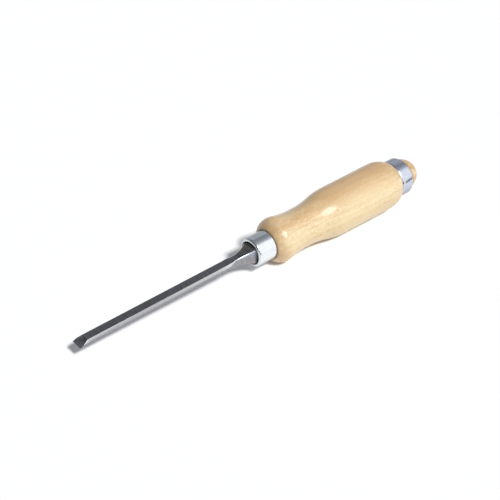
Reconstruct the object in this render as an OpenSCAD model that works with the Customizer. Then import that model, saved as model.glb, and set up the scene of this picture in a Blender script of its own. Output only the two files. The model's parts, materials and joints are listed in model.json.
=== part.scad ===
// Bevel-edge wood chisel with a turned handle, lying on a floor at z = 0.
// In the tool's own frame its axis runs along X: the ferrule mouth is at x = 0, the cutting
// edge lies at negative x and the striking end at positive x. lie_at_rest() tilts that frame
// until the handle touches the floor at two places, as a round handle does.

/* [Blade] */
// Width of the cutting edge
blade_w = 8; // [6:0.5:12]
// Length from the cutting edge to the start of the neck
blade_len = 108.5; // [80:0.5:150]
// Thickness at the cutting end, before the bevel is ground
blade_t_tip = 2.4; // [1.8:0.1:3.2]
// Thickness at the neck end
blade_t_neck = 3.5; // [2.8:0.1:4.5]
// Angle of the cutting bevel to the flat back, in degrees
bevel_angle = 23; // [20:1:35]
// Width of each side bevel, seen from above
flank_w = 1.2; // [0.6:0.1:1.8]
// Height of each side bevel
flank_h = 1.4; // [0.8:0.1:1.6]
// Depth of the flat back below the tool axis
back_drop = 1.05; // [0.5:0.05:2]

/* [Neck and bolster] */
// Length from the end of the blade to the ferrule mouth
neck_len = 20.5; // [18:0.5:40]
// Width of the neck
neck_w = 5.2; // [3.8:0.1:6.4]
// Height of the neck
neck_h = 5.3; // [4.4:0.1:7]
// Length over which the blade runs out into the neck; the hollow flare fills the rest
run_out_len = 7; // [4:0.5:8]
// Diameter of the bolster
bolster_d = 14.5; // [12:0.1:15.6]
// Thickness of the bolster at its rim
bolster_rim = 2; // [1:0.1:3.5]
// Depth of the bolster seat inside the ferrule mouth
seat_depth = 5; // [4:0.1:8]

/* [Tang] */
// Length of the tang behind the bolster
tang_len = 48; // [30:1:80]
// Width of the square tang at the bolster
tang_w = 6.5; // [5:0.1:8]
// Width of the square tang at its end
tang_end_w = 3.5; // [2.5:0.1:4.5]
// Gap between the tang and the wood on each face
tang_gap = 0.05; // [0:0.01:0.2]
// Diameter of the wide part of the drilled pilot hole
pilot_wide_d = 6; // [5:0.1:8]
// Depth of the wide part of the pilot hole, from the bolster seat
pilot_wide_len = 22; // [10:1:28]
// Diameter of the narrow part of the pilot hole
pilot_narrow_d = 4; // [3:0.1:4.8]
// Room left in the pilot hole past the end of the tang
pilot_room = 4; // [1:0.5:8]

/* [Front ferrule] */
// Outer diameter of the ferrule
ferrule_d = 20; // [19.4:0.1:24]
// Length of the ferrule
ferrule_len = 14; // [11:0.5:22]
// Wall of the ferrule tube
ferrule_wall = 1.5; // [0.8:0.1:1.8]
// Diameter of the mouth in the turned-in front lip
mouth_d = 16; // [15:0.1:16.9]
// Outer rounding of the front lip
lip_round = 1.2; // [0.5:0.1:1.4]

/* [Handle] */
// Height by which the wood stands proud of the ferrule and of the hoop
proud = 0.4; // [0:0.1:1]
// Diameter over the front bead
bead_d = 31; // [29:0.5:34]
// Profile radius of the front bead
bead_arc = 10.3; // [8:0.1:16]
// Diameter at the waist
waist_d = 26.9; // [23:0.1:28.5]
// Profile radius of the hollow waist
waist_arc = 80; // [50:1:110]
// Diameter at the knee, where the barrel of the grip starts
knee_d = 34.5; // [31:0.5:36]
// Profile radius of the knee
knee_arc = 64; // [20:1:90]
// Length of the barrel from the knee to the rear shoulder
barrel_len = 45; // [25:1:70]
// Diameter at the rear end of the barrel
barrel_d = 35.3; // [33:0.1:38]
// Profile radius of the rear shoulder
shoulder_arc = 18.4; // [8:0.1:24]
// Length of the domed striking end behind the hoop
dome_len = 14; // [6:0.5:18]

/* [Striking hoop] */
// Outer diameter of the hoop
hoop_d = 27.2; // [24:0.1:31]
// Length of the hoop
hoop_len = 11; // [7:0.5:18]
// Wall of the hoop
hoop_wall = 1.8; // [1:0.1:3]
// Rounding of the hoop's outer edges
hoop_round = 0.8; // [0.2:0.1:0.9]

/* [Fits] */
// Gap between each wooden spigot and the metal ring pressed on it, on the radius
ring_gap = 0.03; // [0:0.01:0.1]

/* [Hidden] */
// Facets of round surfaces and steps along a curved outline
$fn = 96;
arc_steps = 14;

// Stations along the tool axis
tip_x = -(neck_len + blade_len);
neck_x = -neck_len;
run_out_x = neck_x + run_out_len;
bolster_x = seat_depth - bolster_rim;
tang_end_x = seat_depth + tang_len;

// Heights of the blade over the tool axis
back_z = -back_drop;
taper = atan((blade_t_neck - blade_t_tip) / blade_len);
bevel_len = blade_t_tip / (tan(bevel_angle) - tan(taper));

// Radii of the spigots under the two metal rings
front_spigot_r = ferrule_d / 2 - ferrule_wall - ring_gap;
rear_spigot_r = hoop_d / 2 - hoop_wall - ring_gap;

// Profile arcs of the handle as [x of the centre, radius of the centre, arc radius].
// Each arc touches the next one, so the waist and the knee find their own places.
bead = let (foot_r = ferrule_d / 2 + proud, centre_r = bead_d / 2 - bead_arc)
    [ferrule_len + sqrt(pow(bead_arc, 2) - pow(foot_r - centre_r, 2)), centre_r, bead_arc];
waist = touching(bead, waist_d / 2 + waist_arc, waist_arc);
knee = touching(waist, knee_d / 2 - knee_arc, knee_arc);
shoulder = [knee.x + barrel_len, barrel_d / 2 - shoulder_arc, shoulder_arc];
hoop_x = shoulder.x + sqrt(pow(shoulder_arc, 2) - pow(hoop_d / 2 + proud - shoulder.y, 2));
dome_x = hoop_x + hoop_len;
end_x = dome_x + dome_len;

// Resting place: the tilt of the line under the bead and the next arc that it meets
tilt = max(rest_angle(bead, knee), rest_angle(bead, shoulder));
lift = bead.y * cos(tilt) - bead.x * sin(tilt) + bead.z;
front_x = tip_x * cos(tilt) - back_z * sin(tilt);
mid_x = (front_x + end_x * cos(tilt)) / 2;

// Next arc along x that touches arc a from the other side of the outline
function touching(a, centre_r, arc_r) =
    [a.x + sqrt(pow(a.z + arc_r, 2) - pow(centre_r - a.y, 2)), centre_r, arc_r];

// Place where two touching arcs meet
function meeting(a, b) = a.x + (b.x - a.x) * a.z / (a.z + b.z);

// Angle between the tool axis and the line that both bulging arcs rest on
function rest_angle(a, b) = let (dx = b.x - a.x, dr = a.y - b.y)
    atan2(dx, dr) - acos((b.z - a.z) / norm([dx, dr]));

// Points [radius, x] of an arc between two stations; side is 1 for a bulge, -1 for a hollow
function arc_points(a, from_x, to_x, side) =
    let (start = asin((from_x - a.x) / a.z), stop = asin((to_x - a.x) / a.z))
    [for (i = [0 : arc_steps]) let (turn = start + (stop - start) * i / arc_steps)
        [a.y + side * a.z * cos(turn), a.x + a.z * sin(turn)]];

// Quarter round of a ring's outer edge at [radius, x]; dir is 1 when the ring lies behind it
function edge_round(edge_r, edge_x, round_r, dir) =
    [for (i = [0 : arc_steps]) let (turn = 90 * i / arc_steps)
        [edge_r - round_r * (1 - sin(turn)), edge_x + dir * round_r * (1 - cos(turn))]];

// Smooth step between two heights along x
function run_out_points(from_h, to_h) = [for (i = [0 : arc_steps]) let (part = i / arc_steps)
    [neck_x + run_out_len * part, from_h + (to_h - from_h) * (1 - cos(180 * part)) / 2]];

// Hollow flare that rises from from_h at the end of the run-out to the bolster's rim
function flare_points(from_h) =
    let (length = bolster_x - run_out_x, rise = bolster_d / 2 - from_h)
    let (arc_r = (pow(length, 2) + pow(rise, 2)) / (2 * rise), full = asin(length / arc_r))
    [for (i = [1 : arc_steps]) let (turn = full * i / arc_steps)
        [run_out_x + arc_r * sin(turn), from_h + arc_r * (1 - cos(turn))]];

// Edge of the blade's outline from the neck to the seat, for a blade of height blade_h there
function neck_edge(blade_h, neck_half) =
    concat(run_out_points(blade_h, neck_half), flare_points(neck_half), [[seat_depth, bolster_d / 2]]);

function reversed(points) = [for (i = [len(points) - 1 : -1 : 0]) points[i]];
function flipped(points) = [for (p = points) [p.x, -p.y]];

// Solid of revolution about X from points [radius, x]
module turned(points) {
    rotate([0, 90, 0]) rotate_extrude() polygon(points);
}

// Outline [x, y] seen from above, made into a slab as tall as height
module plan_slab(points, height) {
    translate([0, 0, -height / 2]) linear_extrude(height) polygon(points);
}

// Outline [x, z] seen from the side, made into a slab as wide as width
module side_slab(points, width) {
    translate([0, width / 2, 0]) rotate([90, 0, 0]) linear_extrude(width) polygon(points);
}

// Tilt and lift the tool so that it rests on the floor, centred on the origin
module lie_at_rest() {
    translate([-mid_x, 0, lift]) rotate([0, -tilt, 0]) children();
}

// Blade, neck and bolster where the plan outline and the side outline agree
module forging() {
    half_plan = concat([[tip_x, blade_w / 2]], neck_edge(blade_w / 2, neck_w / 2));
    side_top = concat(
        [[tip_x, back_z], [tip_x + bevel_len, back_z + bevel_len * tan(bevel_angle)]],
        neck_edge(back_z + blade_t_neck, neck_h / 2));
    side_bottom = flipped(neck_edge(back_drop, neck_h / 2));
    intersection() {
        plan_slab(concat(half_plan, reversed(flipped(half_plan))), bolster_d);
        side_slab(concat(side_top, reversed(side_bottom)), bolster_d);
        translate([tip_x, 0, 0]) rotate([0, 90, 0]) cylinder(d = bolster_d, h = seat_depth - tip_x);
    }
}

// Wedge that grinds one side bevel along the blade and runs out in the neck
module flank_cut(side) {
    top_half = blade_w / 2 - flank_w;
    wedge = [[top_half - flank_w, flank_h], [top_half + 2 * flank_w, -2 * flank_h],
        [top_half + 2 * flank_w, flank_h]];
    translate([tip_x, 0, back_z + blade_t_tip]) rotate([0, -taper, 0]) mirror([0, side, 0])
        rotate([90, 0, 90]) linear_extrude(run_out_x - tip_x) polygon(wedge);
}

// Square tapered tang, larger by gap on each face
module tang(gap) {
    overlap = bolster_rim / 2;
    half = tang_w / 2 + gap;
    end_half = tang_end_w / 2 + gap;
    edge = [[seat_depth - overlap, half], [seat_depth, half], [tang_end_x + gap, end_half]];
    outline = concat(edge, reversed(flipped(edge)));
    intersection() {
        plan_slab(outline, 2 * half);
        side_slab(outline, 2 * half);
    }
}

module blade() {
    color([0.60, 0.61, 0.64]) lie_at_rest() union() {
        difference() {
            forging();
            for (side = [0, 1]) flank_cut(side);
        }
        tang(0);
    }
}

module front_ferrule() {
    bore_r = ferrule_d / 2 - ferrule_wall;
    color([0.80, 0.83, 0.87]) lie_at_rest() turned(concat(
        [[mouth_d / 2, 0]],
        edge_round(ferrule_d / 2, 0, lip_round, 1),
        [[ferrule_d / 2, ferrule_len], [bore_r, ferrule_len],
         [bore_r, ferrule_wall], [mouth_d / 2, ferrule_wall]]));
}

module handle() {
    front = [[0, seat_depth], [front_spigot_r, seat_depth], [front_spigot_r, ferrule_len]];
    grip = concat(
        arc_points(bead, ferrule_len, meeting(bead, waist), 1),
        arc_points(waist, meeting(bead, waist), meeting(waist, knee), -1),
        arc_points(knee, meeting(waist, knee), knee.x, 1),
        arc_points(shoulder, shoulder.x, hoop_x, 1));
    dome = [for (i = [0 : arc_steps]) let (turn = 90 * i / arc_steps)
        [rear_spigot_r * cos(turn), dome_x + dome_len * sin(turn)]];
    color([0.87, 0.72, 0.50]) lie_at_rest() difference() {
        turned(concat(front, grip, [[rear_spigot_r, hoop_x]], dome));
        translate([seat_depth, 0, 0]) rotate([0, 90, 0]) {
            cylinder(d = pilot_wide_d, h = pilot_wide_len);
            cylinder(d = pilot_narrow_d, h = tang_len + pilot_room);
        }
        tang(tang_gap);
    }
}

module striking_hoop() {
    bore_r = hoop_d / 2 - hoop_wall;
    color([0.76, 0.79, 0.86]) lie_at_rest() turned(concat(
        [[bore_r, hoop_x]],
        edge_round(hoop_d / 2, hoop_x, hoop_round, 1),
        reversed(edge_round(hoop_d / 2, dome_x, hoop_round, -1)),
        [[bore_r, dome_x]]));
}

blade();
front_ferrule();
handle();
striking_hoop();
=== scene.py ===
# %% [markdown]
# # A wood chisel lying on a white table
# This lesson gives a packed chisel its looks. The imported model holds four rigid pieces: the steel
# blade, the front ferrule, the turned wooden handle and the striking hoop. Each one is modelled
# again here with fine curves, eased edges and a finish that can be seen up close.
# The frame is loaded first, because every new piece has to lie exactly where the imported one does.

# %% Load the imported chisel
import json
import math

import bmesh
import bpy
from mathutils import Matrix, Vector


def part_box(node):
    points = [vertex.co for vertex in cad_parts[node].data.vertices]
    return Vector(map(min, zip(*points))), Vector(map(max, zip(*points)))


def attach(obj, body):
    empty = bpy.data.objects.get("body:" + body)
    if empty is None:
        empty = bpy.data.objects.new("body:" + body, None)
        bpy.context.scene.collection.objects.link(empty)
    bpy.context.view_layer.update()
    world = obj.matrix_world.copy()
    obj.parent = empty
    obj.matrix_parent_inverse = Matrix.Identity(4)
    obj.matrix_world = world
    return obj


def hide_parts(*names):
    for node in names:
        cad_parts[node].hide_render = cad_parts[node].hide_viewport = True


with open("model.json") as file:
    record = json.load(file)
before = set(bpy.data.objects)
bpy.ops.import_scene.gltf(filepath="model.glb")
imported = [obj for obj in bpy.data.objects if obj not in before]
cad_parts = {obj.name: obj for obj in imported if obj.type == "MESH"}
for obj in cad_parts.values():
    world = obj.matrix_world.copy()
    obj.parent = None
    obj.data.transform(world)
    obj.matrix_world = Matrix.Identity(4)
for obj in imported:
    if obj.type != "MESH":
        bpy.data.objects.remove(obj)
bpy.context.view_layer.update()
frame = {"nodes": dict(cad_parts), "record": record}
print("packed pieces:", sorted(frame["nodes"]))

# %% [markdown]
# The chisel rests on two places of its round handle, so its axis is not level. It is far easier to
# model a turned tool along a straight axis and to lay it down at the end, as a turner takes the
# work off the lathe. The record names the ferrule's round seat as a mount, and that mount gives
# both the slope of the axis and the place of the ferrule's mouth, which is x = 0 on the tool.

# %% Find the tool axis
MM = 0.001
ferrule_len = 14 * MM
packed_lip_round = 1.2 * MM
ferrule_seat = next(mount for mount in frame["record"]["mounts"] if mount["name"] == "ferrule_seat")
towards_tip = Vector(ferrule_seat["axis"]).normalized()
tilt = math.atan2(-towards_tip.z, -towards_tip.x)
seat_to_mouth = (ferrule_len + packed_lip_round) / 2
mouth_place = Vector(ferrule_seat["pos_m"]) + towards_tip * seat_to_mouth
rest_turn = (0, -tilt, 0)
print("axis tilt in degrees:", round(math.degrees(tilt), 3))
print("ferrule mouth in mm:", [round(c * 1000, 3) for c in mouth_place])

# %% [markdown]
# ## The camera
# A photograph of a product on white is usually taken from above and from one side with a longish
# lens. The camera is set first, so that every later render can be laid beside the photograph.
# It circles an aim point near the ferrule: azimuth and elevation place it, and a slight roll
# turns the picture as the photographer's hand did.

# %% Place the camera
aim_point = Vector((-11.54, 2.38, 15.0)) * MM
camera_distance = 566 * MM
azimuth = math.radians(-42.06)
elevation = math.radians(35.23)
roll = math.radians(1.81)
lens_mm = 63.77
level = Vector((math.cos(azimuth), math.sin(azimuth), 0))
forward = Vector((-math.sin(azimuth), math.cos(azimuth), 0))
camera_back = Vector((0, 0, math.sin(elevation))) - forward * math.cos(elevation)
camera_right = level * math.cos(roll) + camera_back.cross(level) * math.sin(roll)
camera_up = camera_back.cross(camera_right)
bpy.ops.object.camera_add(location=aim_point + camera_back * camera_distance)
camera = bpy.context.active_object
camera.name = "photo_camera"
camera.data.lens = lens_mm
camera.rotation_euler = Matrix((camera_right, camera_up, camera_back)).transposed().to_euler()
bpy.context.scene.camera = camera
bpy.context.scene.view_settings.view_transform = "Standard"
print("camera in mm:", [round(c * 1000, 1) for c in camera.location])

# %% [markdown]
# ## Turning on a lathe
# The handle and both rings are turned pieces. By hand they would be made from a profile line that
# is spun round an axis, so the first helpers do just that. A small plane is merged into a single
# point, the pen, and the pen is extruded from place to place along the profile. The spin then
# sweeps the line round the X axis, doubles are merged where the sweep closes and at the poles,
# and the normals are made to point outwards.

# %% Helpers for turned pieces
WELD = 0.002 * MM
RIM_SLACK = 0.02 * MM
LATHE_STEPS = 144


def add(primitive, **settings):
    """Adds a mesh primitive with nothing else selected, and applies its place, turn and size."""
    bpy.ops.object.select_all(action="DESELECT")
    primitive(**settings)
    bpy.ops.object.transform_apply(location=True, rotation=True, scale=True)
    return bpy.context.active_object


def weld_and_face_outwards():
    """Merges doubles and turns all normals outwards, in edit mode."""
    bpy.ops.mesh.select_all(action="SELECT")
    bpy.ops.mesh.remove_doubles(threshold=WELD)
    bpy.ops.mesh.normals_make_consistent(inside=False)


def turn_piece(name, points):
    """Draws a line through points (x, radius), sweeps it round the tool axis and stays in edit mode."""
    start_x, start_r = points[0]
    piece = add(bpy.ops.mesh.primitive_plane_add, size=MM, location=(start_x, 0, start_r))
    piece.name = name
    bpy.ops.object.mode_set(mode="EDIT")
    bpy.ops.mesh.select_mode(type="VERT")
    bpy.ops.mesh.merge(type="CENTER")
    for here, there in zip(points, points[1:]):
        stroke = (there[0] - here[0], 0, there[1] - here[1])
        bpy.ops.mesh.extrude_vertices_move(TRANSFORM_OT_translate={"value": stroke})
    bpy.ops.mesh.select_all(action="SELECT")
    bpy.ops.mesh.spin(steps=LATHE_STEPS, angle=2 * math.pi, center=(0, 0, 0), axis=(1, 0, 0))
    weld_and_face_outwards()
    return piece


def spread(start, stop, steps):
    """Even steps from start to stop."""
    return [start + (stop - start) * i / steps for i in range(steps + 1)]


def arc_points(centre, radius, start, stop, steps):
    """Points of an arc about centre (x, radius) between two angles measured from the +X side."""
    turns = spread(start, stop, steps)
    return [(centre[0] + radius * math.cos(t), centre[1] + radius * math.sin(t)) for t in turns]


def select_where(piece, kind, wanted):
    """Selects the edges or the faces for which wanted is true, in edit mode, and counts them."""
    bpy.ops.mesh.select_mode(type=kind)
    bpy.ops.mesh.select_all(action="DESELECT")
    mesh = bmesh.from_edit_mesh(piece.data)
    chosen = [item for item in (mesh.edges if kind == "EDGE" else mesh.faces) if wanted(item)]
    for item in chosen:
        item.select_set(True)
    bmesh.update_edit_mesh(piece.data)
    return len(chosen)


def round_edges(piece, wanted, width, steps, clamp=False):
    """Rounds the edges for which wanted is true with a narrow bevel, and counts them."""
    count = select_where(piece, "EDGE", wanted)
    bpy.ops.mesh.bevel(offset=width, segments=steps, affect="EDGES", clamp_overlap=clamp)
    weld_and_face_outwards()
    return count


def ease_rim(piece, x, radius, width, steps=4):
    """Eases the sharp turned rim at x, which has that radius."""
    def on_rim(edge):
        ends = [(vert.co.x, math.hypot(vert.co.y, vert.co.z)) for vert in edge.verts]
        return all(max(abs(end_x - x), abs(end_r - radius)) < RIM_SLACK for end_x, end_r in ends)

    count = round_edges(piece, on_rim, width, steps, clamp=True)
    print(f"  {piece.name}: eased {count} rim edges at x = {x / MM:.2f} mm")


# %% [markdown]
# Every piece is finished in the same way. Faces are shaded smooth up to a set angle, and a
# Weighted Normal modifier lets the large faces decide how the narrow bevels blend, which keeps
# flat steel flat. Then the piece is laid down: it takes the tilt and the place of the tool axis,
# and both are applied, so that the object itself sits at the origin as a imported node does.

# %% Helpers that finish a piece
ROOT = "root"


def apply_modifier(piece, kind, **settings):
    """Adds a modifier with these settings and applies it at once."""
    modifier = piece.modifiers.new(kind.lower(), kind)
    for key, value in settings.items():
        setattr(modifier, key, value)
    bpy.context.view_layer.objects.active = piece
    bpy.ops.object.modifier_apply(modifier=modifier.name)


def combine(piece, tool, operation):
    """Combines a piece with a helper solid and removes the helper."""
    apply_modifier(piece, "BOOLEAN", object=tool, operation=operation, solver="EXACT")
    bpy.data.objects.remove(tool, do_unlink=True)


def mark_faces(piece, name, wanted):
    """Stores 1 on the faces for which wanted(centre, normal) is true and 0 on the others."""
    marks = piece.data.attributes.new(name, "FLOAT", "FACE")
    for face in piece.data.polygons:
        marks.data[face.index].value = float(wanted(face.center, face.normal))
    print(f"  {name}: {sum(round(mark.value) for mark in marks.data)} faces of {piece.name}")


def lay_down(piece, node, smooth_angle):
    """Welds and shades a finished piece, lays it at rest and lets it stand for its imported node."""
    bpy.ops.object.select_all(action="DESELECT")
    piece.select_set(True)
    bpy.context.view_layer.objects.active = piece
    bpy.ops.object.mode_set(mode="EDIT")
    weld_and_face_outwards()
    bpy.ops.object.mode_set(mode="OBJECT")
    bpy.ops.object.shade_smooth_by_angle(angle=math.radians(smooth_angle))
    apply_modifier(piece, "WEIGHTED_NORMAL", keep_sharp=True, weight=60)
    piece.location = mouth_place
    piece.rotation_euler = rest_turn
    bpy.ops.object.transform_apply(location=True, rotation=True, scale=True)
    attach(piece, ROOT)
    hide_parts(node)
    low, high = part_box(node)
    print(f"{piece.name}: {len(piece.data.polygons)} faces, stands for {node}")
    print("  packed size in mm:", [round(side / MM, 2) for side in high - low])
    print("  new size in mm:   ", [round(side / MM, 2) for side in piece.dimensions])


# %% [markdown]
# ## The handle
# The handle is one piece of beech, turned between centres: a spigot for the ferrule, a bead that
# stops the hand, a hollow waist, a knee, an almost straight barrel, a rear shoulder, a spigot for
# the hoop and a domed end for the mallet. A turner works with tangent curves, so the profile is a
# chain of arcs that touch each other, and the places of the waist and the knee follow from the
# diameters and radii alone.

# %% Sizes of the handle
seat_depth = 5 * MM
ferrule_r = 10 * MM
ferrule_wall = 1.5 * MM
hoop_r = 13.6 * MM
hoop_len = 11 * MM
hoop_wall = 1.8 * MM
ring_gap = 0.03 * MM
proud = 0.4 * MM
bead_r = 15.5 * MM
bead_arc = 10.3 * MM
waist_r = 13.45 * MM
waist_arc = 80 * MM
knee_r = 17.25 * MM
knee_arc = 64 * MM
barrel_len = 45 * MM
barrel_r = 17.65 * MM
shoulder_arc = 18.4 * MM
dome_len = 14 * MM


def touching_x(from_x, from_r, to_r, reach):
    """Place along the axis of the next point of the chain, whose distance to the last one is reach."""
    return from_x + math.sqrt(reach ** 2 - (to_r - from_r) ** 2)


def meeting_x(first_x, first_arc, second_x, second_arc):
    """Place where two touching arcs meet."""
    return first_x + (second_x - first_x) * first_arc / (first_arc + second_arc)


bead_foot_r = ferrule_r + proud
bead_centre_r = bead_r - bead_arc
waist_centre_r = waist_r + waist_arc
knee_centre_r = knee_r - knee_arc
bead_x = touching_x(ferrule_len, bead_foot_r, bead_centre_r, bead_arc)
waist_x = touching_x(bead_x, bead_centre_r, waist_centre_r, bead_arc + waist_arc)
knee_x = touching_x(waist_x, waist_centre_r, knee_centre_r, waist_arc + knee_arc)
shoulder_x = knee_x + barrel_len
shoulder_end_r = hoop_r + proud
shoulder_centre_r = barrel_r - shoulder_arc
hoop_x = touching_x(shoulder_x, shoulder_centre_r, shoulder_end_r, shoulder_arc)
dome_x = hoop_x + hoop_len
handle_end = dome_x + dome_len
bead_to_waist = meeting_x(bead_x, bead_arc, waist_x, waist_arc)
waist_to_knee = meeting_x(waist_x, waist_arc, knee_x, knee_arc)
front_spigot_r = ferrule_r - ferrule_wall - ring_gap
rear_spigot_r = hoop_r - hoop_wall - ring_gap
print("waist and knee at x in mm:", round(waist_x / MM, 2), round(knee_x / MM, 2))
print("handle ends at x in mm:", round(handle_end / MM, 2))


# %% Profile of the handle
def bulge(centre_x, centre_r, arc, from_x, to_x, steps, side=1):
    """Outward arc of the profile between two places along the axis, or an inward one on side -1."""
    start = side * math.acos((from_x - centre_x) / arc)
    stop = side * math.acos((to_x - centre_x) / arc)
    return arc_points((centre_x, centre_r), arc, start, stop, steps)


def dome_points(steps):
    """Quarter ellipse of the striking end, from the hoop to the axis."""
    turns = spread(0, math.pi / 2, steps)
    return [(dome_x + dome_len * math.sin(t), rear_spigot_r * math.cos(t)) for t in turns]


handle_profile = [(seat_depth, 0), (seat_depth, front_spigot_r), (ferrule_len, front_spigot_r)]
handle_profile += bulge(bead_x, bead_centre_r, bead_arc, ferrule_len, bead_to_waist, steps=26)
handle_profile += bulge(
    waist_x, waist_centre_r, waist_arc, bead_to_waist, waist_to_knee, steps=30, side=-1)[1:]
handle_profile += bulge(knee_x, knee_centre_r, knee_arc, waist_to_knee, knee_x, steps=20)[1:]
barrel_shares = spread(0, 1, steps=8)[1:-1]
handle_profile += [(knee_x + barrel_len * s, knee_r + (barrel_r - knee_r) * s) for s in barrel_shares]
handle_profile += bulge(shoulder_x, shoulder_centre_r, shoulder_arc, shoulder_x, hoop_x, steps=24)
handle_profile += [(hoop_x, rear_spigot_r)]
handle_profile += dome_points(steps=28)
print("profile points:", len(handle_profile))

# %% Turn the handle
front_ease = 0.5 * MM
rear_joint_ease = 0.6 * MM
handle = turn_piece("chisel_handle", handle_profile)
ease_rim(handle, ferrule_len, bead_foot_r, front_ease)
ease_rim(handle, hoop_x, shoulder_end_r, rear_joint_ease)
bpy.ops.object.mode_set(mode="OBJECT")

# %% [markdown]
# The blade is held by a square tapered tang, driven into a stepped pilot hole. The socket does not
# show, but a real handle has it, so it is cut with two drills and a copy of the tang. Each helper
# starts as a primitive at its place; the tang's far end is scaled down in edit mode.

# %% Drill and square the socket
tang_len = 48 * MM
tang_half = 3.25 * MM
tang_end_half = 1.75 * MM
tang_gap = 0.05 * MM
pilot_wide_r = 3 * MM
pilot_wide_len = 22 * MM
pilot_narrow_r = 2 * MM
pilot_room = 4 * MM
bolster_rim = 2 * MM
overshoot = MM


def add_block(middle, sides, turn=(0, 0, 0)):
    """Adds a block with these sides, the start of a piece or of a cutter."""
    return add(bpy.ops.mesh.primitive_cube_add, size=1, location=middle, rotation=turn, scale=sides)


def is_rear_face(face):
    """True for the face of a block that looks along the tool axis to the striking end."""
    return face.normal.x > 0.9


def tapered_tang(gap):
    """Square tang that starts inside the bolster and tapers to its end, wider by gap."""
    start = seat_depth - bolster_rim / 2
    length = seat_depth + tang_len + gap - start
    half = tang_half + gap
    tang = add_block((start + length / 2, 0, 0), (length, 2 * half, 2 * half))
    bpy.ops.object.mode_set(mode="EDIT")
    select_where(tang, "FACE", is_rear_face)
    shrink = (tang_end_half + gap) / half
    bpy.ops.transform.resize(value=(1, shrink, shrink), center_override=(start + length, 0, 0))
    bpy.ops.object.mode_set(mode="OBJECT")
    return tang


def rod(from_x, to_x, radius, sides=48):
    """Plain rod on the tool axis, used as a drill or as a round stop."""
    return add(
        bpy.ops.mesh.primitive_cylinder_add, vertices=sides, radius=radius, depth=to_x - from_x,
        location=((from_x + to_x) / 2, 0, 0), rotation=(0, math.pi / 2, 0))


combine(handle, tapered_tang(tang_gap), "DIFFERENCE")
drill_start = seat_depth - overshoot
combine(handle, rod(drill_start, seat_depth + pilot_wide_len, pilot_wide_r), "DIFFERENCE")
combine(handle, rod(drill_start, seat_depth + tang_len + pilot_room, pilot_narrow_r), "DIFFERENCE")
lay_down(handle, "handle", smooth_angle=32)

# %% [markdown]
# ## The front ferrule
# The ferrule is a short drawn steel tube whose front edge is turned in to a lip. It keeps the wood
# from splitting where the tang goes in. Its profile is a closed loop, spun in the same way. The
# lip's outer edge is a wide round, and the mouth and the rear rim only lose their sharpness.
# Turning the edge in leaves small dents on the round, so two egg-shaped cutters press them in.

# %% Turn the ferrule
mouth_r = 8 * MM
ferrule_bore_r = ferrule_r - ferrule_wall
mouth_ease = 0.3 * MM
rear_ease = 0.3 * MM
lip_arc = 1.6 * MM
lip_centre = (lip_arc, ferrule_r - lip_arc)
ferrule_profile = [(ferrule_wall, mouth_r), (0, mouth_r)]
ferrule_profile += arc_points(lip_centre, lip_arc, math.pi, math.pi / 2, steps=12)
ferrule_profile += [(ferrule_len, ferrule_r), (ferrule_len, ferrule_bore_r)]
ferrule_profile += [(ferrule_wall, ferrule_bore_r), (ferrule_wall, mouth_r)]
ferrule = turn_piece("chisel_front_ferrule", ferrule_profile)
ease_rim(ferrule, 0, mouth_r, mouth_ease)
ease_rim(ferrule, ferrule_len, ferrule_r, rear_ease, steps=3)
bpy.ops.object.mode_set(mode="OBJECT")

# %% Dent the lip
dent_lean = math.radians(65)
dent_egg_r = 0.5 * MM
dent_depth = 0.24 * MM
dent_slack = 0.02 * MM


def press_dent(angle, half_len):
    """Presses a dent into the lip, at an angle from the top, and gives its middle and reach."""
    reach = lip_arc + dent_egg_r - dent_depth
    out = lip_centre[1] + math.sin(dent_lean) * reach
    middle = (lip_centre[0] - math.cos(dent_lean) * reach, math.sin(angle) * out, math.cos(angle) * out)
    egg = add(
        bpy.ops.mesh.primitive_uv_sphere_add, segments=24, ring_count=16, radius=1, location=middle,
        rotation=(-angle, 0, 0), scale=(dent_egg_r, half_len, dent_egg_r))
    combine(ferrule, egg, "DIFFERENCE")
    return Vector(middle), max(half_len, dent_egg_r) + dent_slack


dents = [press_dent(math.radians(-56), half_len=0.6 * MM)]
dents += [press_dent(math.radians(-67), half_len=1.0 * MM)]


def in_dent(place, normal):
    """True inside a dent, where the normal points back to the middle of the egg that pressed it."""
    near = [middle - place for middle, reach in dents if (middle - place).length < reach]
    return any(normal.dot(back.normalized()) > 0.6 for back in near)


mark_faces(ferrule, "dent", in_dent)
lay_down(ferrule, "front_ferrule", smooth_angle=32)

# %% [markdown]
# ## The striking hoop
# The hoop round the rear spigot stops the wood from mushrooming under a mallet. It is bent from
# strip, so a short seam shows on it. Its front edge is drawn in towards the wood in a long soft
# curve, and its rear edge has a plain round. The ring is spun like the ferrule. The seam is open at
# both edges and filled between them, so a Boolean cuts a slot into the rear half and a short notch
# into the front edge.

# %% Turn the hoop
hoop_round = 0.8 * MM
hoop_bore_r = hoop_r - hoop_wall
curve_len = 1.8 * MM
curve_drop = 0.9 * MM
rear_round = (dome_x - hoop_round, hoop_r - hoop_round)
hoop_profile = [(hoop_x, hoop_bore_r)]
hoop_profile += [
    (hoop_x + curve_len * (1 - math.cos(t)), hoop_r - curve_drop * (1 - math.sin(t)))
    for t in spread(0, math.pi / 2, steps=12)]
hoop_profile += arc_points(rear_round, hoop_round, math.pi / 2, 0, steps=8)
hoop_profile += [(dome_x, hoop_bore_r), (hoop_x, hoop_bore_r)]
hoop = turn_piece("chisel_striking_hoop", hoop_profile)
bpy.ops.object.mode_set(mode="OBJECT")

# %% Cut the seam of the hoop
seam_len = 7.8 * MM
seam_w = 1.9 * MM
seam_depth = 0.6 * MM
seam_angle = math.radians(-70.5)
seam_slant = math.radians(8)
notch_len = 1.3 * MM
notch_w = 1.7 * MM
notch_angle = math.radians(-72)


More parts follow.
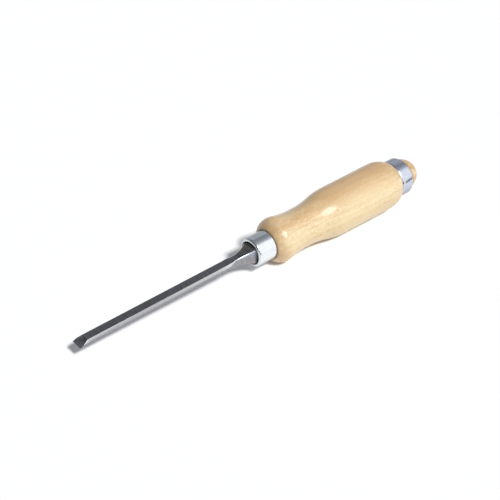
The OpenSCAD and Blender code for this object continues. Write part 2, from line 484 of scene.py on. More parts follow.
def cut_seam(from_x, to_x, width, angle):
    """Cuts a slot of the seam between two places on the axis; the angle is measured from the top."""
    out = Vector((0, math.sin(angle), math.cos(angle)))
    turn = Matrix.Rotation(-angle, 3, "X") @ Matrix.Rotation(seam_slant, 3, "Z")
    middle = out * hoop_r + Vector(((from_x + to_x) / 2, 0, 0))
    cutter = add_block(middle, (to_x - from_x, width, 2 * seam_depth), turn.to_euler())
    combine(hoop, cutter, "DIFFERENCE")


cut_seam(dome_x - seam_len, dome_x + 2 * overshoot, seam_w, seam_angle)
cut_seam(hoop_x - overshoot, hoop_x + notch_len, notch_w, notch_angle)
lay_down(hoop, "striking_hoop", smooth_angle=32)

# %% [markdown]
# ## The blade
# The blade is one forging: a long bar with a flat back, ground side bevels and a cutting bevel,
# a narrow neck, a flared bolster and the tang. A block of the bar's size is the start. Its top is
# lowered at the tip for the taper, and its rear face is extruded and scaled from station to
# station, which gives the run-out, the neck and the flare one smooth outline.

# %% Sizes of the blade
blade_half = 4 * MM
blade_len = 108.5 * MM
blade_t_tip = 2.4 * MM
blade_t_neck = 3.5 * MM
bevel_angle = math.radians(23)
flank_w = 1.2 * MM
flank_h = 1.4 * MM
back_z = -1.05 * MM
neck_len = 20.5 * MM
neck_half_w = 2.6 * MM
neck_half_h = 2.65 * MM
run_out_len = 7 * MM
bolster_r = 7.25 * MM
neck_x = -neck_len
tip_x = neck_x - blade_len
run_out_x = neck_x + run_out_len
bolster_x = seat_depth - bolster_rim
flare_len = bolster_x - run_out_x
blade_top = back_z + blade_t_neck
taper = math.atan((blade_t_neck - blade_t_tip) / blade_len)


def neck_height(x, blade_height, neck_half):
    """Distance from the axis to one side of the forging, from the end of the blade to the seat."""
    if x <= run_out_x:
        share = (x - neck_x) / run_out_len
        return blade_height + (neck_half - blade_height) * (1 - math.cos(math.pi * share)) / 2
    rise = bolster_r - neck_half
    flare_arc = (flare_len ** 2 + rise ** 2) / (2 * rise)
    along = min(x, bolster_x) - run_out_x
    return neck_half + flare_arc - math.sqrt(flare_arc ** 2 - along ** 2)


def section_at(x):
    """Half width, top and bottom of the forging at x."""
    half = neck_height(x, blade_half, neck_half_w)
    top = neck_height(x, blade_top, neck_half_h)
    bottom = -neck_height(x, -back_z, neck_half_h)
    return half, top, bottom


stations = spread(neck_x, run_out_x, steps=16)[1:]
stations += spread(run_out_x, bolster_x, steps=20)[1:]
stations += [seat_depth]
print("neck stations:", len(stations), "flare from x in mm:", round(run_out_x / MM, 2))


# %% Forge the bar, the neck and the bolster
def at_top_of_tip(edge):
    """True for the upper edge of the bar at the tip."""
    return all(vert.co.x < tip_x + blade_len / 2 and vert.co.z > 0 for vert in edge.verts)


bar_middle = (tip_x + blade_len / 2, 0, back_z + blade_t_neck / 2)
blade = add_block(bar_middle, (blade_len, 2 * blade_half, blade_t_neck))
blade.name = "chisel_blade"
bpy.ops.object.mode_set(mode="EDIT")
select_where(blade, "EDGE", at_top_of_tip)
bpy.ops.transform.translate(value=(0, 0, blade_t_tip - blade_t_neck))
select_where(blade, "FACE", is_rear_face)
last_x, last_section = neck_x, section_at(neck_x)
for x in stations:
    half, top, bottom = section_at(x)
    last_half, last_top, last_bottom = last_section
    rise = (top + bottom - last_top - last_bottom) / 2
    bpy.ops.mesh.extrude_region_move(TRANSFORM_OT_translate={"value": (x - last_x, 0, rise)})
    bpy.ops.transform.resize(
        value=(1, half / last_half, (top - bottom) / (last_top - last_bottom)),
        center_override=(x, 0, (top + bottom) / 2))
    last_x, last_section = x, (half, top, bottom)
print("forged faces:", len(bmesh.from_edit_mesh(blade.data).faces))

# %% [markdown]
# The corners of the neck are filed round. This narrow round carries the side bevel of the blade on
# to the bolster as a bright line, which is partly a painted highlight: its faces get a near-white
# colour. After that the grinding follows the real order.
# Each side bevel is cut by a block that leans against the blade like a grinding wheel and stops
# before the flare, and a Boolean takes away what it covers. The cutting bevel crosses the whole
# bar, so a plain Bisect is enough there.

# %% Round the corners of the neck
neck_round = 0.7 * MM
neck_slack = 0.01 * MM


def along_neck(edge):
    """True for the long edges from the end of the blade to the seat."""
    first_x, second_x = [vert.co.x for vert in edge.verts]
    return min(first_x, second_x) > neck_x - neck_slack and abs(first_x - second_x) > neck_slack


corner_edges = round_edges(blade, along_neck, neck_round, steps=6)
bpy.ops.object.mode_set(mode="OBJECT")
print("rounded corner edges:", corner_edges)

# %% Grind the side bevels
wheel_size = 20 * MM
wheel_margin = MM
wheel_reach = run_out_x - wheel_margin - tip_x


def grinding_block(side):
    """Block whose lower face lies on the side bevel; side is 1 or -1 across the blade."""
    along = Vector((math.cos(taper), 0, math.sin(taper)))
    outwards = Vector((0, side * flank_h, flank_w)).normalized()
    outwards.rotate(Matrix.Rotation(-taper, 3, "Y"))
    turn = Matrix((along, outwards.cross(along), outwards)).transposed()
    flank_top = Vector((tip_x, side * (blade_half - flank_w), back_z + blade_t_tip))
    middle = flank_top + along * (wheel_reach - wheel_size) / 2 + outwards * wheel_size / 2
    return add_block(middle, (wheel_reach + wheel_size, wheel_size, wheel_size), turn.to_euler())


for side in (1, -1):
    combine(blade, grinding_block(side), "DIFFERENCE")
print("faces after grinding the sides:", len(blade.data.polygons))

# %% Grind the cutting bevel
bpy.context.view_layer.objects.active = blade
bpy.ops.object.mode_set(mode="EDIT")
bpy.ops.mesh.select_all(action="SELECT")
bpy.ops.mesh.bisect(
    plane_co=(tip_x, 0, back_z), plane_no=(-math.sin(bevel_angle), 0, math.cos(bevel_angle)),
    use_fill=True, clear_outer=True, threshold=WELD)
weld_and_face_outwards()

# %% [markdown]
# No ground edge is perfectly sharp apart from the cutting edge. The six long edges of the blade
# get a hair-thin bevel that catches the light. Then the bolster is made round where it sits in the
# ferrule, and the tang joins the forging.

# %% Ease the long edges, round the bolster and add the tang
long_edge_ease = 0.07 * MM


def along_blade(edge):
    """True for the long edges between the cutting bevel and the neck."""
    first_x, second_x = [vert.co.x for vert in edge.verts]
    return abs(first_x - second_x) > blade_len / 2


eased_edges = round_edges(blade, along_blade, long_edge_ease, steps=2)
bpy.ops.object.mode_set(mode="OBJECT")
combine(blade, rod(tip_x - overshoot, seat_depth, bolster_r, sides=96), "INTERSECT")
combine(blade, tapered_tang(0), "UNION")
print("eased blade edges:", eased_edges)

# %% Mark the faces of the blade by their finish
polish_border = neck_x + MM


def is_side(place, normal):
    """The upright sides of the blade and of the neck, also where the neck flares."""
    if place.x > neck_x:
        return abs(normal.y) > 0.6 and abs(normal.z) < 0.2
    return abs(normal.y) > 0.85


def is_flank(place, normal):
    """The polished side bevels in front of the neck."""
    return place.x < polish_border and 0.5 < abs(normal.y) <= 0.85 and normal.z > 0.3


def is_cutting_bevel(place, normal):
    """The bevel behind the cutting edge."""
    return place.x < neck_x and normal.x < -0.3 and normal.z > 0.5


def is_corner(place, normal):
    """The rounds along the upper corners of the neck, which get a painted highlight."""
    return place.x > polish_border and 0.2 < abs(normal.y) <= 0.97 and normal.z > 0.1


mark_faces(blade, "side", is_side)
mark_faces(blade, "flank", is_flank)
mark_faces(blade, "corner", is_corner)
mark_faces(blade, "cutting_bevel", is_cutting_bevel)
lay_down(blade, "blade", smooth_angle=28)

# %% [markdown]
# ## Shader helpers
# A finish is a small network of nodes. Written as Python expressions it stays readable: a Wire
# wraps one output socket, and sums on wires add Math nodes. Every other node comes from one
# method, which sets the node's own settings first and then its sockets.

# %% Wires and the bench
class Wire:
    """An output socket that can be used in sums."""

    def __init__(self, bench, socket):
        self.bench = bench
        self.socket = socket

    def out(self, name):
        """Another output of the same node."""
        return Wire(self.bench, self.socket.node.outputs[name])

    def __add__(self, other):
        return self.bench.sum("ADD", self, other)

    def __radd__(self, other):
        return self.bench.sum("ADD", other, self)

    def __sub__(self, other):
        return self.bench.sum("SUBTRACT", self, other)

    def __rsub__(self, other):
        return self.bench.sum("SUBTRACT", other, self)

    def __mul__(self, other):
        return self.bench.sum("MULTIPLY", self, other)

    def __rmul__(self, other):
        return self.bench.sum("MULTIPLY", other, self)

    def __truediv__(self, other):
        return self.bench.sum("DIVIDE", self, other)

    def __rtruediv__(self, other):
        return self.bench.sum("DIVIDE", other, self)


class Bench:
    """Makes nodes in one node tree."""

    def __init__(self, tree):
        self.tree = tree
        self.tree.nodes.clear()

    def node(self, kind, settings=None, sockets=None, output=0):
        """Makes a node, sets its settings, then fills or links its sockets."""
        made = self.tree.nodes.new(kind)
        for key, value in (settings or {}).items():
            if key == "stops":
                self.set_stops(made.color_ramp, value)
            else:
                setattr(made, key, value)
        for key, value in (sockets or {}).items():
            if isinstance(value, Wire):
                self.tree.links.new(value.socket, made.inputs[key])
            else:
                made.inputs[key].default_value = value
        return Wire(self, made.outputs[output]) if len(made.outputs) else made

    def set_stops(self, ramp, stops):
        """Gives a ramp its stops, each a place and a grey level."""
        while len(ramp.elements) < len(stops):
            ramp.elements.new(1)
        for element, (place, level) in zip(ramp.elements, stops):
            element.position = place
            element.color = (level, level, level, 1)

    def sum(self, operation, first, second):
        return self.node("ShaderNodeMath", {"operation": operation}, {0: first, 1: second})

    def larger(self, first, second):
        return self.sum("MAXIMUM", first, second)

    def ramp(self, value, *stops):
        """Reads a value through a ramp of grey levels."""
        return self.node("ShaderNodeValToRGB", {"stops": stops}, {"Fac": value})

    def mix(self, share, first, second, blend="MIX"):
        """Mixes two colours."""
        settings = {"data_type": "RGBA", "blend_type": blend}
        return self.node("ShaderNodeMix", settings, {0: share, 6: first, 7: second}, 2)

    def stretch(self, place, counts):
        """Scales a place along its axes, as counts per millimetre."""
        return self.node("ShaderNodeVectorMath", {"operation": "MULTIPLY"}, {0: place, 1: counts})

    def split(self, place):
        """The three coordinates of a place."""
        parts = self.node("ShaderNodeSeparateXYZ", {}, {"Vector": place})
        return parts.out("X"), parts.out("Y"), parts.out("Z")

    def length(self, place):
        """Distance of a place from the origin."""
        return self.node("ShaderNodeVectorMath", {"operation": "LENGTH"}, {0: place}).out("Value")

    def noise(self, place, counts, detail=2.0, roughness=0.5):
        """Soft noise from 0 to 1, with so many blotches per millimetre along each axis."""
        return self.node("ShaderNodeTexNoise", {}, {
            "Vector": self.stretch(place, counts), "Scale": 1.0, "Detail": detail,
            "Roughness": roughness})

    def flecks(self, place, counts, core, edge):
        """Spots of uneven strength, so many per millimetre, that fade from core to edge."""
        cells = self.node("ShaderNodeTexVoronoi", {"feature": "F1"}, {
            "Vector": self.stretch(place, counts), "Scale": 1.0})
        strength = self.ramp(cells.out("Color"), (0.35, 0.1), (0.70, 1.0))
        return self.ramp(cells.out("Distance"), (core, 1.0), (edge, 0.0)) * strength

    def bump(self, height, depth, strength):
        """Turns a height from 0 to 1 into a surface normal; depth is in metres."""
        return self.node("ShaderNodeBump", {}, {
            "Height": height, "Distance": depth, "Strength": strength})

    def mark(self, name):
        """Reads a mark that was stored on the faces of a piece; where there is none it is 0."""
        return self.node("ShaderNodeAttribute", {"attribute_name": name}).out("Fac")

    def tool_mm(self):
        """Place on the tool in millimetres, with X along the tool axis."""
        place = self.node("ShaderNodeTexCoord").out("Object")
        return self.node("ShaderNodeMapping", {"vector_type": "TEXTURE"}, {
            "Vector": place, "Location": mouth_place, "Rotation": rest_turn, "Scale": (MM, MM, MM)})


def new_finish(name):
    """An empty material and the bench for its nodes."""
    finish = bpy.data.materials.new(name)
    finish.use_nodes = True
    return finish, Bench(finish.node_tree)


def put_on(finish, bench, piece, sockets):
    """Closes a finish with a Principled shader and gives it to a piece."""
    shader = bench.node("ShaderNodeBsdfPrincipled", {}, sockets)
    bench.node("ShaderNodeOutputMaterial", {}, {"Surface": shader})
    piece.data.materials.clear()
    piece.data.materials.append(finish)
    print(f"{finish.name}: {len(bench.tree.nodes)} nodes on {piece.name}")


# %% [markdown]
# ## Lacquered beech
# Beech is pale and close-grained, and a turned handle shows several patterns at once. All of them
# are solid patterns on the tool's own axes, turned as the trunk lay in the lathe, and a slow swirl
# bends the finer ones, because no trunk grows quite straight.
# The slow colours come first. Across the trunk the wood changes from straw to tan, in soft streaks;
# the tan lies towards the top, where it is partly painted shade of the upper side. Slow bands of
# painted shade darken the wood below and above its lit side. Amber patches lie most of all on the
# top of the bead and the waist, and the crest of the bead has the colour of honey.

# %% Slow colours of the beech
STRAW = (0.83, 0.70, 0.445, 1)
GOLD = (0.85, 0.67, 0.39, 1)
TAN_AND_SHADE = (0.725, 0.50, 0.268, 1)
AMBER = (0.70, 0.40, 0.19, 1)
HONEY = (0.93, 0.67, 0.36, 1)
trunk_turn = math.radians(25)
swirl_mm = (0, 12, 12)


def trunk_places(bench, tool):
    """The place on the tool turned with the trunk, and the same place bent by a slow swirl."""
    place = bench.node("ShaderNodeMapping", {"vector_type": "POINT"}, {
        "Vector": tool, "Rotation": (trunk_turn, 0, 0)})
    swirl = bench.noise(place, (0.06, 0.10, 0.10), 3, 0.6).out("Color")
    grain = bench.node("ShaderNodeVectorMath", {"operation": "MULTIPLY_ADD"}, {
        0: swirl, 1: swirl_mm, 2: place})
    return place, grain


def along_handle(bench, x):
    """A function that reads a ramp along the handle; each stop is a place on the tool and a level."""
    share = x * (MM / handle_end)
    return lambda *stops: bench.ramp(share, *[(at / handle_end, level) for at, level in stops])


def trunk_colours(bench, along, across, place):
    """Straw, gold and tan across the trunk, and the share of tan; the tan towards the top is partly
    painted shade.
    """
    streaks = bench.noise(place, (0.016, 0.28, 0.28), 4, 0.6)
    # Tan towards the top: partly the wood's own colour, partly painted shade of the upper side.
    tan_and_shade_share = bench.ramp(across * 0.8 + streaks * 0.9 - 0.35, (0.15, 0.0), (0.92, 1.0))
    tan_and_shade_share = tan_and_shade_share * along((25 * MM, 0.3), (65 * MM, 1.0))
    pale = bench.mix(bench.ramp(across * 0.4 + 0.5, (0.40, 1.0), (0.58, 0.0)), STRAW, GOLD)
    return bench.mix(tan_and_shade_share, pale, TAN_AND_SHADE), tan_and_shade_share


def with_amber(bench, tone, tan_and_shade_share, along, y, z, grain):
    """Adds the amber patches."""
    warm = bench.noise(grain, (0.05, 0.26, 0.26), 4, 0.65)
    tongues = bench.noise(grain, (0.08, 0.42, 0.42), 4, 0.65)
    narrowing = along((20 * MM, 0.14), (36 * MM, 0.0))
    zone = bench.ramp((z * 0.94 - y * 0.34) / 15 - narrowing, (0.76, 0.0), (0.90, 1.0))
    zone = zone * along(
        (14 * MM, 1.6), (22 * MM, 1.2), (30 * MM, 1.0), (48 * MM, 0.9), (66 * MM, 0.0))
    amber = bench.ramp(warm, (0.34, 0.0), (0.64, 1.0)) * tan_and_shade_share * 0.2
    amber = amber + bench.ramp(tongues, (0.37, 0.2), (0.60, 1.0)) * zone * 0.58
    return bench.mix(amber, tone, AMBER)


def with_honey_crest(bench, tone, along, y, z):
    """Adds the honey crest of the bead."""
    crest = bench.ramp((z * 0.9 + y * 0.3) / 15, (0.82, 0.0), (0.92, 0.65))
    crest = crest * along((18 * MM, 0.0), (22 * MM, 1.0), (27 * MM, 1.0), (36 * MM, 0.0))
    return bench.mix(crest, tone, HONEY)


def with_painted_shade(bench, tone, across):
    """Painted shade: darkens the wood below its lit side and above it, in slow bands across the trunk.
    """
    painted_shade_levels = bench.ramp(
        across * 0.4 + 0.5, (0.20, 0.87), (0.39, 0.92), (0.50, 0.96), (0.61, 1.0), (0.71, 0.985),
        (0.80, 0.945), (0.87, 0.925), (0.92, 0.97), (0.94, 0.965))
    return bench.mix(1.0, tone, painted_shade_levels, "MULTIPLY")


# %% [markdown]
# The grain lies over the slow colours. Growth rings follow the distance from the heart of the tree,
# which lies well outside the handle. Rays are thin ribbons that run outwards from the heart and
# appear as short brown flecks. Fine pores, strands and a mottle lie between them, and the last two
# are livelier in some places than in others.

# %% Growth rings, rays and pores
FLECK = (0.50, 0.29, 0.125, 1)
heart_mm = (0, 14, 62)
ring_step_mm = 4.6


def with_growth_rings(bench, tone, place):
    """Adds late wood, the darker part of each growth ring."""
    drift = bench.noise(place, (0.012, 0.05, 0.05))
    from_heart = bench.length(bench.node("ShaderNodeVectorMath", {"operation": "ADD"}, {
        0: bench.stretch(place, (0, 1, 1)), 1: heart_mm}))
    ring_turn = bench.sum("FRACT", from_heart / ring_step_mm + drift * 2.2, 0.0)
    late_wood = bench.ramp(ring_turn, (0.0, 0.15), (0.45, 0.0), (0.86, 0.75), (0.95, 1.0), (1.0, 0.15))
    return bench.mix(late_wood * 0.14, tone, FLECK)


def with_fine_grain(bench, tone, along, place, grain):
    """Adds rays, pores, strands and a mottle, and gives the dips that rays and pores leave."""
    rays = bench.flecks(grain, (0.30, 0.95, 0.14), 0.12, 0.36)
    pores = bench.flecks(grain, (0.75, 2.3, 0.7), 0.10, 0.30)
    strands = bench.noise(grain, (0.17, 0.85, 0.85), 4, 0.65)
    mottle = bench.noise(grain, (0.40, 1.2, 1.2), 3, 0.65)
    lively = bench.ramp(bench.noise(place, (0.04, 0.12, 0.12)), (0.36, 0.3), (0.64, 1.0))
    lively = lively * along((50 * MM, 1.0), (75 * MM, 0.7), (100 * MM, 0.7), (118 * MM, 1.0))
    strands = bench.ramp(strands, (0.44, 0.0), (0.72, 0.50)) * lively
    mottle = bench.ramp(mottle, (0.44, 0.0), (0.72, 0.45)) * lively
    for share in (rays * 0.24, pores * 0.20, strands, mottle):
        tone = bench.mix(share, tone, FLECK)
    return tone, rays * 0.5 + pores * 0.6


# %% [markdown]
# End grain drinks more lacquer, so the wood is darker where the profile is steep: at the foot of
# the bead, on the rear shoulder and on the dome. At the front of the bead this darkening is partly
# painted shade, and an even painted shade lies at its foot. Dirt gathers where wood meets metal,
# and on both sides of the hoop it widens into bands that are partly painted shade.

# %% End grain and dirt
END_GRAIN_AND_SHADE = (0.56, 0.33, 0.15, 1)
DIRT_AND_SHADE = (0.17, 0.12, 0.08, 1)
joint_line = 0.65 * MM
hoop_joint = 1.4 * MM
dome_joint = 3.4 * MM


def with_end_grain_and_shade(bench, tone, along, place):
    """Adds patches of end grain where the profile is steep, partly painted shade at the bead's front,
    and an even painted shade at the bead's foot.
    """
    patches = bench.noise(place, (0.22, 0.30, 0.30), 3, 0.6)
    # Near the ferrule the end grain also stands for shade on the front of the bead.
    steep = along(
        (ferrule_len, 0.95), (ferrule_len + 2.5 * MM, 0.65), (bead_x, 0.10), (bead_x + 3 * MM, 0.0),
        (shoulder_x, 0.0), (shoulder_x + 6 * MM, 0.22), (hoop_x, 0.7), (dome_x, 1.35), (handle_end, 1.4))
    # Painted shade at the foot of the bead, next to the ferrule.
    foot_shade = along((ferrule_len, 0.28), (ferrule_len + 3 * MM, 0.22), (ferrule_len + 6 * MM, 0.0))
    tone = bench.mix(steep * bench.ramp(patches, (0.35, 0.1), (0.65, 0.8)), tone, END_GRAIN_AND_SHADE)
    return bench.mix(foot_shade, tone, END_GRAIN_AND_SHADE)


def joint_dirt_and_shade(along):
    """Dirt in the joint behind the ferrule, and dirt widened into painted shade on both sides of the
    hoop.
    """
    return along(
        (ferrule_len, 1.0), (ferrule_len + joint_line, 0.0), (hoop_x - hoop_joint, 0.0),
        (hoop_x - hoop_joint / 2, 0.7), (hoop_x, 1.0), (dome_x + MM, 0.8), (dome_x + dome_joint, 0.0))


# %% [markdown]
# A clear gloss lacquer lies on top as a smooth coat. It is thin and slightly worn, so it does not
# mirror the table along the outline: the coat fades where the surface turns away.

# %% Finish of the handle
grain_depth = 0.03 * MM


def lacquered_beech():
    finish, bench = new_finish("lacquered_beech")
    tool = bench.tool_mm()
    x, y, z = bench.split(tool)
    along = along_handle(bench, x)
    place, grain = trunk_places(bench, tool)
    across = (y * 0.26 + z * 0.966) / 16
    tone, tan_and_shade_share = trunk_colours(bench, along, across, place)
    tone = with_amber(bench, tone, tan_and_shade_share, along, y, z, grain)
    tone = with_honey_crest(bench, tone, along, y, z)
    tone = with_painted_shade(bench, tone, across)
    tone = with_growth_rings(bench, tone, place)
    tone, dips = with_fine_grain(bench, tone, along, place, grain)
    tone = with_end_grain_and_shade(bench, tone, along, place)
    # Dirt in the joints, widened into painted shade on both sides of the hoop.
    dirt_and_shade = joint_dirt_and_shade(along)
    tone = bench.mix(dirt_and_shade * 0.85, tone, DIRT_AND_SHADE)
    facing = bench.node("ShaderNodeLayerWeight", {}, {"Blend": 0.5}).out("Facing")
    coat = (1 - bench.ramp(facing, (0.70, 0.0), (0.95, 0.9))) * (1 - dirt_and_shade * 0.4)
    fibres = bench.noise(place, (0.07, 3.2, 3.2), 4, 0.6)
    put_on(finish, bench, handle, {
        "Base Color": tone, "Roughness": 0.42 + fibres * 0.16, "IOR": 1.5, "Specular IOR Level": 0.12,
        "Coat Weight": coat, "Coat Roughness": 0.07, "Coat IOR": 1.5,
        "Normal": bench.bump(fibres * 0.4 - dips, grain_depth, 0.6)})


lacquered_beech()

# %% [markdown]
# ## Bright plating
# Both rings are polished and then plated. Such plating is bright but a little milky, so it is not a
# full mirror: part of it scatters light, which lifts the dark reflections to a blue grey. The
# polishing leaves hair lines round the ring and some haze, and use leaves fine scuffs. The lines
# change mostly along the axis, so the noise is stretched far across it. Nearer to the axis than the
# rest the plating is darker: inside the ferrule's mouth and on the drawn-in front of the hoop this is
# painted shade, and in the hoop's seam it is soil. The dents, which carry a mark, are darker too, and
# a painted shade runs along the front edge, most of all where the hoop meets the wood.

# %% Finish of the two rings
# Soil in the hoop's seam, painted shade in the mouth and along the front edge, and the darker dents.
SOIL_AND_SHADE = (0.05, 0.05, 0.065, 1)
GLANCING_TINT = (0.45, 0.44, 0.43, 1)
shade_and_soil_fade = 0.08 * MM
hair_line_depth = 0.003 * MM


def bright_plating(name, piece, tint, metal, front, rear, shade_and_soil_r, shade_and_soil_share, edge_shade_share):
    """Plating of a ring from front to rear, darker near the axis from soil and painted shade, darker in
    its dents, and with a painted shade along its front edge.
    """
    finish, bench = new_finish(name)
    place = bench.tool_mm()
    hair_lines = bench.noise(place, (7.0, 0.05, 0.05), 4, 0.65)
    smears = bench.noise(place, (0.11, 0.16, 0.16), 3, 0.6)
    scuffs = bench.noise(place, (0.5, 2.6, 0.5), 3, 0.7)
    dim = [level * 0.82 for level in tint[:3]] + [1]
    shade = bench.mix(bench.ramp(smears, (0.35, 0.0), (0.70, 0.4)), tint, dim)
    shade = bench.mix(bench.ramp(hair_lines, (0.30, 0.30), (0.55, 0.0)), shade, dim)
    from_axis = bench.length(bench.stretch(place, (0, 1, 1)))
    from_front = bench.split(place)[0] - front / MM
    # Painted shade inside the ferrule's mouth and on the hoop's drawn-in front, soil in the seam.
    deep = bench.ramp(
        from_axis * MM / hoop_r, ((shade_and_soil_r - shade_and_soil_fade) / hoop_r, shade_and_soil_share), (shade_and_soil_r / hoop_r, 0.0))
    within = bench.ramp(
        from_front * (MM / (rear - front)), (0.025, 0.0), (0.045, 1.0), (0.965, 1.0), (0.985, 0.0))
    # Painted shade along the front edge of the ring.
    edge = bench.ramp(from_front, (0.0, 0.85), (0.45, 0.76), (0.95, 0.0)) * edge_shade_share
    soil_and_shade = bench.larger(bench.larger(deep * within, bench.mark("dent") * 0.85), edge)
    shade = bench.mix(soil_and_shade, shade, SOIL_AND_SHADE)
    dull = 0.09 + smears * 0.08 + bench.ramp(scuffs, (0.55, 0.0), (0.75, 0.06)) + soil_and_shade * 0.4
    relief = hair_lines * 0.6 + scuffs * 0.10
    put_on(finish, bench, piece, {
        "Base Color": shade, "Metallic": metal, "Roughness": dull, "Specular Tint": GLANCING_TINT,
        "Normal": bench.bump(relief, hair_line_depth, 0.08)})


bright_plating(
    "ferrule_bright_plating", ferrule, tint=(0.86, 0.905, 0.945, 1), metal=0.85, front=0,
    rear=ferrule_len, shade_and_soil_r=ferrule_r - MM, shade_and_soil_share=0.85, edge_shade_share=0.15)
bright_plating(
    "hoop_bright_plating", hoop, tint=(0.64, 0.68, 0.785, 1), metal=0.82, front=hoop_x,
    rear=dome_x, shade_and_soil_r=hoop_r - 0.12 * MM, shade_and_soil_share=0.55, edge_shade_share=1)

# %% [markdown]
# ## Ground steel
# The blade is ground across its width, so fine lines run from side to side on its top. They are
# made by a noise that changes quickly along the blade and slowly across it. The side bevels are
# polished finer, and their colour is a painted reflection: dark towards the tip, light towards the
# neck, with a painted highlight at the tip's corner. The cutting bevel's lighter grey is a painted
# reflection, and the near-white rounds on the neck's corners are a painted highlight. The upright
# sides are left duller, so each kind of face reads the mark that it was given. The flare is a warmer
# grey, the upper part of its sides has a faint blue tint that is a painted reflection, and the
# bolster inside the ferrule keeps the dark skin. A sparse noise leaves a few dull spots, as on steel
# that has been handled.

# %% Colours of the steel
GROUND_DARK = (0.43, 0.415, 0.425, 1)
GROUND_LIGHT = (0.49, 0.475, 0.485, 1)
WARM_FLARE = (0.60, 0.56, 0.49, 1)
UPRIGHT_SIDE = (0.37, 0.37, 0.39, 1)
FLARE_SIDE = (0.37, 0.355, 0.37, 1)
# Painted reflection: a blue tint on the upper part of the flare's sides.
PAINTED_BLUE_REFLECTION = (0.38, 0.42, 0.53, 1)
# Painted reflection on the side bevels: dark towards the tip, light towards the neck.
PAINTED_FLANK_DARK = (0.22, 0.218, 0.228, 1)
PAINTED_FLANK_LIGHT = (0.75, 0.75, 0.77, 1)
# Painted reflection: a lighter grey on the cutting bevel.
PAINTED_BEVEL_REFLECTION = (0.64, 0.625, 0.63, 1)
GRIND_LINE = (0.19, 0.18, 0.19, 1)
DULL_SPOT = (0.30, 0.28, 0.27, 1)
# Painted highlight on the rounded corners of the neck.
PAINTED_CORNER_HIGHLIGHT = (0.82, 0.85, 0.93, 1)
DARK_SKIN = (0.085, 0.083, 0.078, 1)
grind_depth = 0.006 * MM


# %% Finish of the blade
def ground_steel():
    finish, bench = new_finish("ground_steel")
    place = bench.tool_mm()
    x, _, z = bench.split(place)
    side, flank = bench.mark("side"), bench.mark("flank")
    grind = bench.noise(place, (5.0, 0.22, 0.3), 5, 0.7)
    coarse = bench.noise(place, (1.6, 0.12, 0.15), 3, 0.6)
    polish = bench.noise(place, (0.06, 0.25, 0.25), 3, 0.55)
    spots = bench.noise(place, (0.5, 0.9, 0.9), 3, 0.6)
    spots = bench.ramp(spots, (0.62, 0.0), (0.76, 1.0))
    # Share of the painted blue reflection at the top of the flare's sides.
    high = bench.ramp(z * 0.1 + 0.5, (0.56, 0.0), (0.72, 1.0))
    flare = bench.ramp(x * 0.1 + 1.5, (0.40, 0.0), (0.90, 1.0))
    skin = bench.ramp(x * 0.1 + 0.5, (0.38, 0.0), (0.58, 1.0))
    # Painted reflection along the side bevels, and a painted highlight at the tip's corner.
    to_neck = bench.ramp(
        x * (-MM / tip_x) + 1, (0.02, 0.40), (0.05, 0.02), (0.15, 0.17), (0.22, 0.31), (0.38, 0.38),
        (0.69, 0.56), (0.78, 0.56), (0.87, 0.95))
    lines = bench.ramp(coarse, (0.32, 0.50), (0.56, 0.0)) + bench.ramp(grind, (0.35, 0.30), (0.60, 0.0))
    upright = bench.mix(flare, UPRIGHT_SIDE, bench.mix(high, FLARE_SIDE, PAINTED_BLUE_REFLECTION))
    shade = bench.mix(polish, GROUND_DARK, GROUND_LIGHT)
    for share, colour in (
            (flare, WARM_FLARE), (side, upright),
            (flank, bench.mix(to_neck, PAINTED_FLANK_DARK, PAINTED_FLANK_LIGHT)),
            (bench.mark("cutting_bevel"), PAINTED_BEVEL_REFLECTION), (lines * (1 - flank * 0.93), GRIND_LINE),
            (spots * 0.20, DULL_SPOT), (bench.mark("corner") * 0.95, PAINTED_CORNER_HIGHLIGHT),
            (skin * 0.85, DARK_SKIN)):
        shade = bench.mix(share, shade, colour)
    dull = 0.17 + polish * 0.06 + side * 0.12 - flank * 0.11 + spots * 0.08 + skin * 0.25
    relief = (grind * 0.7 + coarse * 0.5) * (1 - flank * 0.9)
    put_on(finish, bench, blade, {
        "Base Color": shade, "Metallic": 1.0, "Roughness": dull,
        "Normal": bench.bump(relief, grind_depth, 0.4)})


ground_steel()

# %% [markdown]
# ## Table, light and surroundings
# The table is a wide white sheet. It glows a little: just enough for the lit sheet to reach white,
# so that the chisel keeps its shadow. One soft sun comes from the front, about 51 degrees high,
# which is where the shadow of the tip says it stands. The world gives matt surfaces a weak fill that
# comes mostly from above, so the table darkens under the belly of the handle. Mirrors need
# something to mirror, so mirror rays see a studio: a round softbox in the direction of the sun,
# which leaves the highlights on the lacquer, a white wall below it on the light's side, and a dim,
# slightly cool room behind the chisel.

# %% White table
WHITE = (1, 1, 1, 1)
PAPER = (0.93, 0.93, 0.93, 1)
table_half = 4.0
sheet_glow = 0.09
table = add(bpy.ops.mesh.primitive_plane_add, size=2 * table_half, location=(0, 0, 0))
table.name = "white_table"


def white_sheet():
    finish, bench = new_finish("white_sheet")
    ray = bench.node("ShaderNodeLightPath")
    seen = bench.larger(ray.out("Is Camera Ray"), ray.out("Is Glossy Ray"))
    seen = bench.larger(seen, ray.out("Is Transmission Ray"))
    paper = bench.node("ShaderNodeBsdfDiffuse", {}, {"Color": PAPER})
    glow = bench.node("ShaderNodeEmission", {}, {"Color": WHITE, "Strength": seen * sheet_glow})
    both = bench.node("ShaderNodeAddShader", {}, {0: paper, 1: glow})
    bench.node("ShaderNodeOutputMaterial", {}, {"Surface": both})
    table.data.materials.append(finish)


white_sheet()
print("table is", 2 * table_half, "m wide")

# %% Key light
key_from = Vector((0.02, -0.63, 0.777)).normalized()
key_strength = 3.2
key_spread = math.radians(10)
bpy.ops.object.light_add(type="SUN", location=key_from)
key_light = bpy.context.active_object
key_light.name = "key_sun"
key_light.rotation_euler = key_from.to_track_quat("Z", "Y").to_euler()
key_light.data.energy = key_strength
key_light.data.angle = key_spread
key_light.visible_glossy = False
print("key light elevation in degrees:", round(math.degrees(math.asin(key_from.z)), 1))

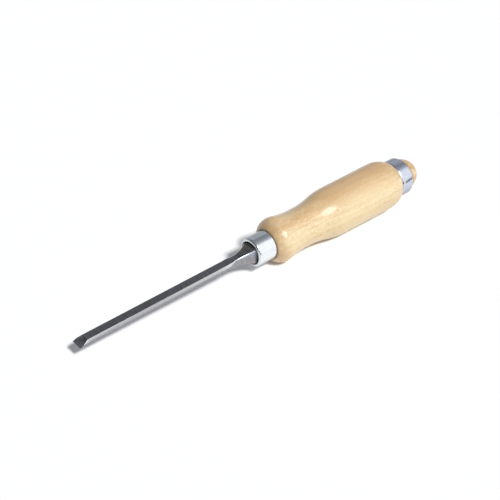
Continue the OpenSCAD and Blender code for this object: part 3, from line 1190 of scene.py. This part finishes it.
# %% Surroundings
softbox_at = Vector((0.06, -0.653, 0.755)).normalized()
softbox_inner = math.radians(11)
softbox_outer = math.radians(20)
softbox_level = 8.0
fill_level = 0.30
fill_tint = (0.92, 0.98, 1.09, 1)
room_lean = 0.2
room_levels = ((0.20, 1.10), (0.28, 0.89), (0.345, 0.38), (0.42, 0.21), (0.49, 0.145), (0.60, 0.08))
left_levels = ((0.12, 0.3), (0.45, 1.0))
back_lean = 1.2
back_side = 0.37
back_levels = ((0.755, 0.0), (0.775, 0.15), (0.82, 0.20), (0.86, 0.29))
right_levels = ((0.785, 1.0), (0.83, 1.35))
shade_tint = (0.93, 1.01, 1.13, 1)


def studio():
    world = bpy.data.worlds.new("white_studio")
    bpy.context.scene.world = world
    world.use_nodes = True
    bench = Bench(world.node_tree)
    ray = bench.node("ShaderNodeLightPath")
    direction = bench.node("ShaderNodeTexCoord").out("Generated")
    x, y, z = bench.split(direction)
    depth = y - x * room_lean
    back = y + bench.larger(x, back_side) * back_lean
    sideways = x * 0.5 + 0.5
    behind = bench.ramp(back * 0.25 + 0.5, *back_levels) * bench.ramp(sideways, *right_levels)
    room = (bench.ramp(depth * 0.5 + 0.5, *room_levels) + behind) * bench.ramp(sideways, *left_levels)
    ahead = bench.node("ShaderNodeVectorMath", {"operation": "DOT_PRODUCT"}, {
        0: direction, 1: softbox_at}).out("Value")
    softbox = bench.ramp(ahead, (math.cos(softbox_outer), 0.0), (math.cos(softbox_inner), 1.0))
    mirrored = ray.out("Is Glossy Ray")
    clear = bench.larger(ray.out("Is Camera Ray"), ray.out("Is Transmission Ray"))
    fill = bench.ramp(z, (0.0, 0.0), (1.0, 1.0)) * fill_level
    level = mirrored * (room + softbox * softbox_level) + (1 - mirrored) * fill
    level = clear + (1 - clear) * level
    dim = bench.ramp(room, (0.15, 1.0), (0.7, 0.0))
    tint = bench.mix(mirrored, fill_tint, bench.mix(dim, WHITE, shade_tint))
    tint = bench.mix(clear, tint, WHITE)
    glow = bench.node("ShaderNodeBackground", {}, {"Color": tint, "Strength": level})
    bench.node("ShaderNodeOutputWorld", {}, {"Surface": glow})
    print("studio nodes:", len(world.node_tree.nodes))


studio()
